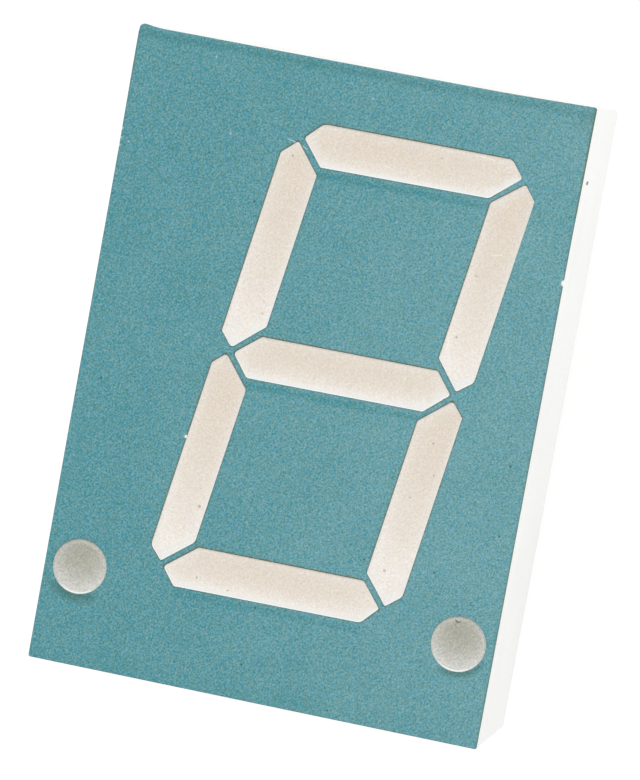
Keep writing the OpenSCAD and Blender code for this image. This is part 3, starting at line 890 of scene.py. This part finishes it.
def makeDiffuser(letter):
    node = "segment_" + letter
    low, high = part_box(node)
    middle = (low + high) / 2
    level = letter in "adg"
    long = Vector((1, 0, 0)) if level else Vector((math.sin(slant), math.cos(slant), 0))
    wide = Vector((0, 1, 0)) if level else Vector((1, 0, 0))
    shape = copyOf(node)
    wander(shape)
    front = frontOf(shape, high.z)
    top = dict.fromkeys(v for f in front for v in f.verts)
    spread(shape, top, diffuser["spread"])
    outline = outlineOf(front)
    flat = middle.xy.to_3d()
    reach = max(abs((a - flat).dot(long)) for a, b, way in outline)
    half = diffuser["halfWidth"] * mm
    bmesh.ops.translate(shape, verts=list(top), vec=(0, 0, diffuser["climb"] * mm))
    rings = []
    for width, drop in diffuser["rings"]:
        ring = bmesh.ops.inset_region(shape, faces=list(front), thickness=width * mm, depth=-drop * mm,
                                      use_even_offset=True, use_boundary=True)
        rings += ring["faces"]
    surface = dict.fromkeys([*front, *rings])
    for axis, count, span in ((long, diffuser["lengthCuts"], reach), (wide, diffuser["widthCuts"], half)):
        normal = long if axis is long else Vector((-long.y, long.x, 0))
        for i in range(1, count + 1):
            place = middle + axis * span * (2 * i / (count + 1) - 1)
            cut = dict.fromkeys(g for f in surface for g in (*f.verts, *f.edges, f))
            made = bmesh.ops.bisect_plane(shape, geom=list(cut), dist=1e-6, plane_co=place, plane_no=normal)
            surface = dict.fromkeys(g for g in made["geom"] if isinstance(g, bmesh.types.BMFace))
    tone, lit, seam = layersOf(shape, "tone", "lit", "seam")
    rimWidth = sum(width for width, drop in diffuser["rings"]) * mm
    tones, glow = diffuser["tones"], diffuser["glow"].get(letter, 1)
    litIn, litHalf = diffuser["lit"]
    for v in shape.verts:
        gap, way = nearest(v.co.xy.to_3d(), outline)
        fall = min(1, max(0, (high.y - v.co.y) / (high.y - low.y)))
        side = (v.co.x - middle.x) / (high.x - middle.x) if level else 0
        # painted light: paler towards the segment's lower end
        body = (tones["top"] + tones["fall"] * fall + tones["foot"] * fall ** 4) * glow
        # painted light along the edges that face the upper left
        shade = tones["rim"] + tones["rimShade"] * max(0, way.dot(shadeFrom))
        rim = shade * math.exp(-gap / (diffuser["rimReach"] * mm))
        v[tone] = body + rim + tones["end"] * max(0, side) ** 2
        v[lit] = math.exp(-((gap / mm - litIn) / litHalf) ** 2) * max(0, way.dot(litFrom))
        v[seam] = max(0, 1 - gap / (diffuser["rings"][0][0] * mm)) * shadeOf(way)
        v[seam] *= diffuser["seam"].get(letter, 1)
    for v in dict.fromkeys(v for f in surface for v in f.verts):
        gap = nearest(v.co.xy.to_3d(), outline)[0]
        a = (v.co.xy.to_3d() - flat).dot(long) / reach
        b = (gap - rimWidth) / (half - rimWidth)
        if b > 0.01:
            v.co.z -= diffuser["dish"] * mm * (1 - (1 - b) ** 2) * max(0, 1 - a * a)
    return keep(shape, "diffuser" + letter.upper(), node, smooth=60)


point = {
    "lip": 0.03,        # how far the lip stands above the cast level, in mm
    "dish": 0.20,       # depth of the hollow below the lip
    "foot": 0.61,       # radius at the board
    "shoulder": 0.1,    # how far below the face its wall turns upright
    "flank": 0.13,      # width of the hollow's outer part, which has the lip's rings
    "steps": 72,
    "rings": 12,
    "lipRings": (0.10, 0.075, 0.05, 0.03, 0.012),  # rings close to the lip, from the wall
    "level": 0.23,      # tone at the middle
    "outer": {"by": 0.21, "reach": 1.04, "power": 2.7},  # how it gets paler away from the middle
    "lower": {"by": 0.23, "reach": 0.6},                 # and, as painted light, towards the foot of the digit
    "upper": 0.18,                                       # painted shade: how it gets darker towards the top
    "glint": {"by": 0.2, "at": 1.07, "width": 0.07},     # on the upper lip
    "crescent": {"in": 0.04, "width": 0.06, "from": 0.68, "over": 0.25},  # the bright line at the lower wall
}


def lathe(shape, profile, centre, steps):  # turns (radius, height) pairs in mm about an upright axis
    first = [shape.verts.new((centre.x + r * mm, centre.y, z * mm)) for r, z in profile]
    chain = [shape.edges.new(pair) for pair in zip(first, first[1:])]
    bmesh.ops.spin(shape, geom=first + chain, cent=(centre.x, centre.y, 0), axis=(0, 0, 1), angle=2 * math.pi,
                   steps=steps, use_merge=True)
    bmesh.ops.remove_doubles(shape, verts=shape.verts, dist=1e-7)


def makePoint(side):
    node = "point_" + side
    low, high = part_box(node)
    centre = (low + high) / 2
    base, front = low.z / mm, high.z / mm
    r = (high.x - low.x) / 2 / mm
    mouth = r + diffuser["spread"]
    radii = [(r - point["flank"]) * i / point["rings"] for i in range(point["rings"] + 1)]
    radii += [mouth - gap for gap in point["lipRings"]]
    hollow = [(q, front + point["lip"] - point["dish"] * (1 - (q / mouth) ** 2)) for q in radii]
    wall = [(0, base), (point["foot"], base), (r, front - point["shoulder"]),
            (mouth, front + point["lip"] * 0.8)]
    shape = bmesh.new()
    lathe(shape, wall + hollow[::-1], centre, point["steps"])
    tone, lit = layersOf(shape, "tone", "lit")
    outer, lower, glint, crescent = (point[part] for part in ("outer", "lower", "glint", "crescent"))
    for v in shape.verts:
        arm = (v.co.xy - centre.xy) / mm
        out = arm.length
        down = -arm.y / out if out > 0.1 else 0
        # painted light and shade: paler below the middle, darker above it
        lean = lower["by"] * min(-arm.y, lower["reach"]) if down > 0 else -point["upper"] * arm.y
        lip = math.exp(-((out - glint["at"]) / glint["width"]) ** 2) * max(0, -down)
        pale = outer["by"] * min(out, outer["reach"]) ** outer["power"]
        v[tone] = point["level"] + pale + lean + glint["by"] * lip
        line = max(0, 1 - abs(mouth - crescent["in"] - out) / crescent["width"])
        v[lit] = line * min(1, max(0, (down - crescent["from"]) / crescent["over"]))
    return keep(shape, "point" + side.capitalize(), node, smooth=60)


pinShape = {
    "width": 0.6,      # of the square shank, in mm
    "shankFoot": 0.7,  # height at which the shank begins
    "edge": 0.04,      # rounding of the shank's edges
    "thick": 0.5,      # of the round part
    "inShank": 0.9,    # height up to which the round part runs inside the shank
    "tip": 0.12,       # height of the domed tip
    "domeSteps": 6,
    "steps": 32,
}


def makePin(node):
    low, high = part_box(node)
    centre = (low + high) / 2
    shape = bmesh.new()
    shank = bmesh.ops.create_cube(shape, size=1)["verts"]
    foot = pinShape["shankFoot"] * mm
    bmesh.ops.scale(shape, verts=shank, vec=(pinShape["width"] * mm, pinShape["width"] * mm, high.z - foot))
    bmesh.ops.translate(shape, verts=shank, vec=(centre.x, centre.y, (high.z + foot) / 2))
    bmesh.ops.bevel(shape, geom=list(shape.edges), offset=pinShape["edge"] * mm, segments=2, profile=0.5,
                    affect="EDGES", material=-1)
    r = pinShape["thick"] / 2
    tip = low.z / mm
    angles = [math.pi / 2 * i / pinShape["domeSteps"] for i in range(pinShape["domeSteps"] + 1)]
    domed = [(r * math.sin(a), tip + pinShape["tip"] * (1 - math.cos(a))) for a in angles]
    end = pinShape["inShank"]
    lathe(shape, domed + [(r, end), (0, end)], centre, pinShape["steps"])
    return keep(shape, node.replace("pin_", "pin"), node, smooth=40)


joint = {
    "foot": 0.65,      # radius on the copper, in mm
    "crest": 0.45,     # radius at the tip of the cone
    "height": 0.8,
    "rings": 8,
    "crown": [(0.42, 0.83), (0.36, 0.86), (0.28, 0.88), (0, 0.88)],  # its end: radius, drop below the top
    "steps": 28,
}


def makeSolderJoints():
    shape = bmesh.new()
    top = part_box("solder_joints")[1].z / mm
    for node in nodes:
        if node.startswith("pin_"):
            low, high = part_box(node)
            centre = (low + high) / 2
            shares = [i / joint["rings"] for i in range(joint["rings"] + 1)]
            cone = [(joint["crest"] + (joint["foot"] - joint["crest"]) * (1 - share) ** 2,
                     top - joint["height"] * share) for share in shares]
            crown = [(r, top - drop) for r, drop in joint["crown"]]
            lathe(shape, [(0, top)] + cone + crown, centre, joint["steps"])
    return keep(shape, "solderCones", "solder_joints", smooth=50)


pool = {"rings": (0.04, 0.06, 0.1), "climb": 0.07}  # rings in from its wall, and its climb there, in mm


def makePool():
    shape = copyOf("rear_potting")
    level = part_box("rear_potting")[0].z
    back = [f for f in shape.faces if f.normal.z < -0.9 and f.calc_center_median().z < level + 1e-5]
    border = [e for f in back for e in f.edges if len([g for g in e.link_faces if g in back]) == 1]
    edge = dict.fromkeys(v for e in border for v in e.verts)
    for width in pool["rings"]:
        bmesh.ops.inset_region(shape, faces=back, thickness=width * mm, depth=0, use_even_offset=True)
    for v in edge:
        v.co.z -= pool["climb"] * mm
    return keep(shape, "pottingPool", "rear_potting", smooth=50)


makeHousing()
makeFacePaint()
print("housing and ink made")
for letter in "abcdefg":
    makeDiffuser(letter)
for side in ("left", "right"):
    makePoint(side)
print("diffusers and points made")
for node in list(nodes):
    if node.startswith("pin_"):
        makePin(node)
makeSolderJoints()
makePool()
print("pins, solder and potting made")
